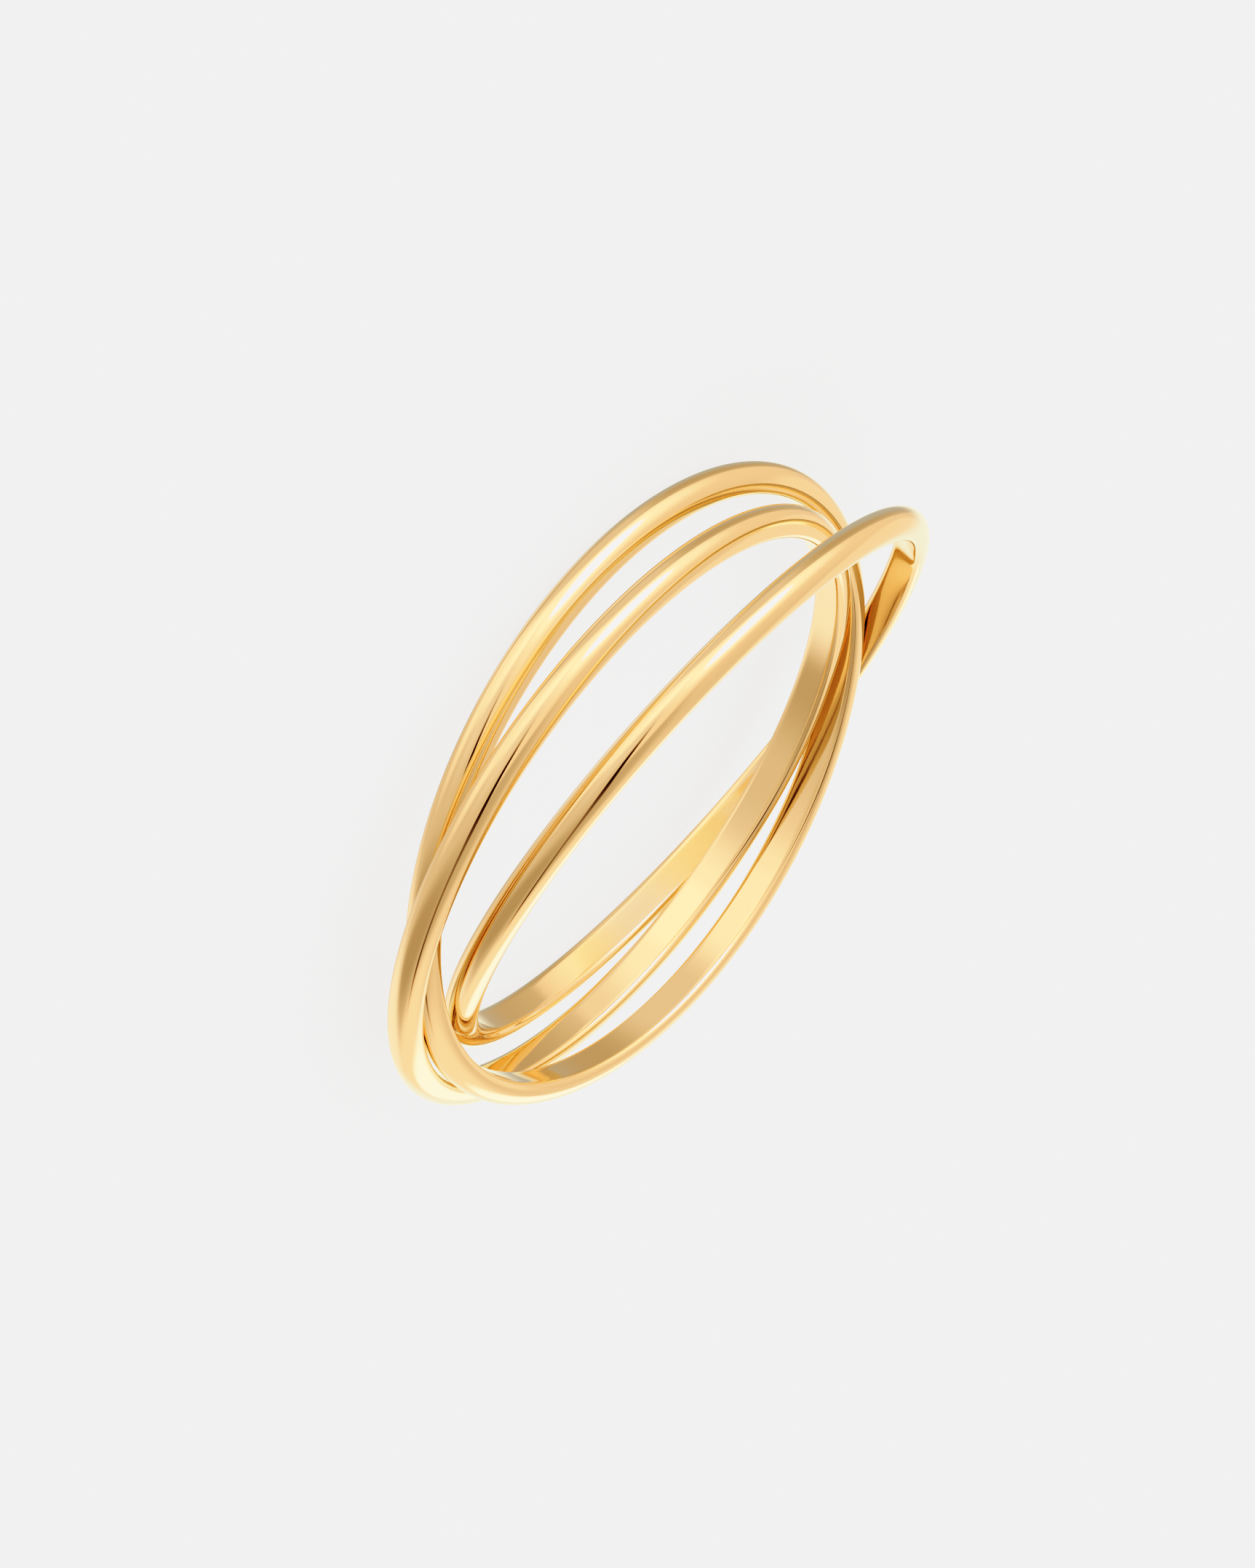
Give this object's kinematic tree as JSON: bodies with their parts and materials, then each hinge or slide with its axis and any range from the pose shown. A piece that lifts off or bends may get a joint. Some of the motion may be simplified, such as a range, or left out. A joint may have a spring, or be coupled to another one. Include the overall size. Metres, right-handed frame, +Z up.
{
  "type": "wrap ring of linked bands",
  "caption": "Yellow gold wrap ring: slim domed bands of one size linked through each other and fanned apart, lying on its side",
  "frame": {"origin": "on the surface that the ring lies on, under the middle of its outline", "axes": "+Z up, +X along the line on which the bands cross, +Y from the front of the fan to its back"},
  "size_m": [0.022, 0.02, 0.0056],
  "materials": {
    "polished_gold": "polished yellow gold"
  },
  "bodies": {
    "lower_band": {"lower_band": "polished_gold"},
    "middle_band": {"middle_band": "polished_gold"},
    "upper_band": {"upper_band": "polished_gold"}
  },
  "joints": [
    {"name": "middle_band_turn", "type": "hinge", "parent": "lower_band", "child": "middle_band", "pos_m": [0.001, 0, 0.00201], "axis": [0.0098, 0.0328, 0.9994], "continuous": true},
    {"name": "upper_band_turn", "type": "hinge", "parent": "lower_band", "child": "upper_band", "pos_m": [-0.001, -0.00011, 0.00279], "axis": [0.0095, 0.2397, 0.9708], "continuous": true}
  ]
}
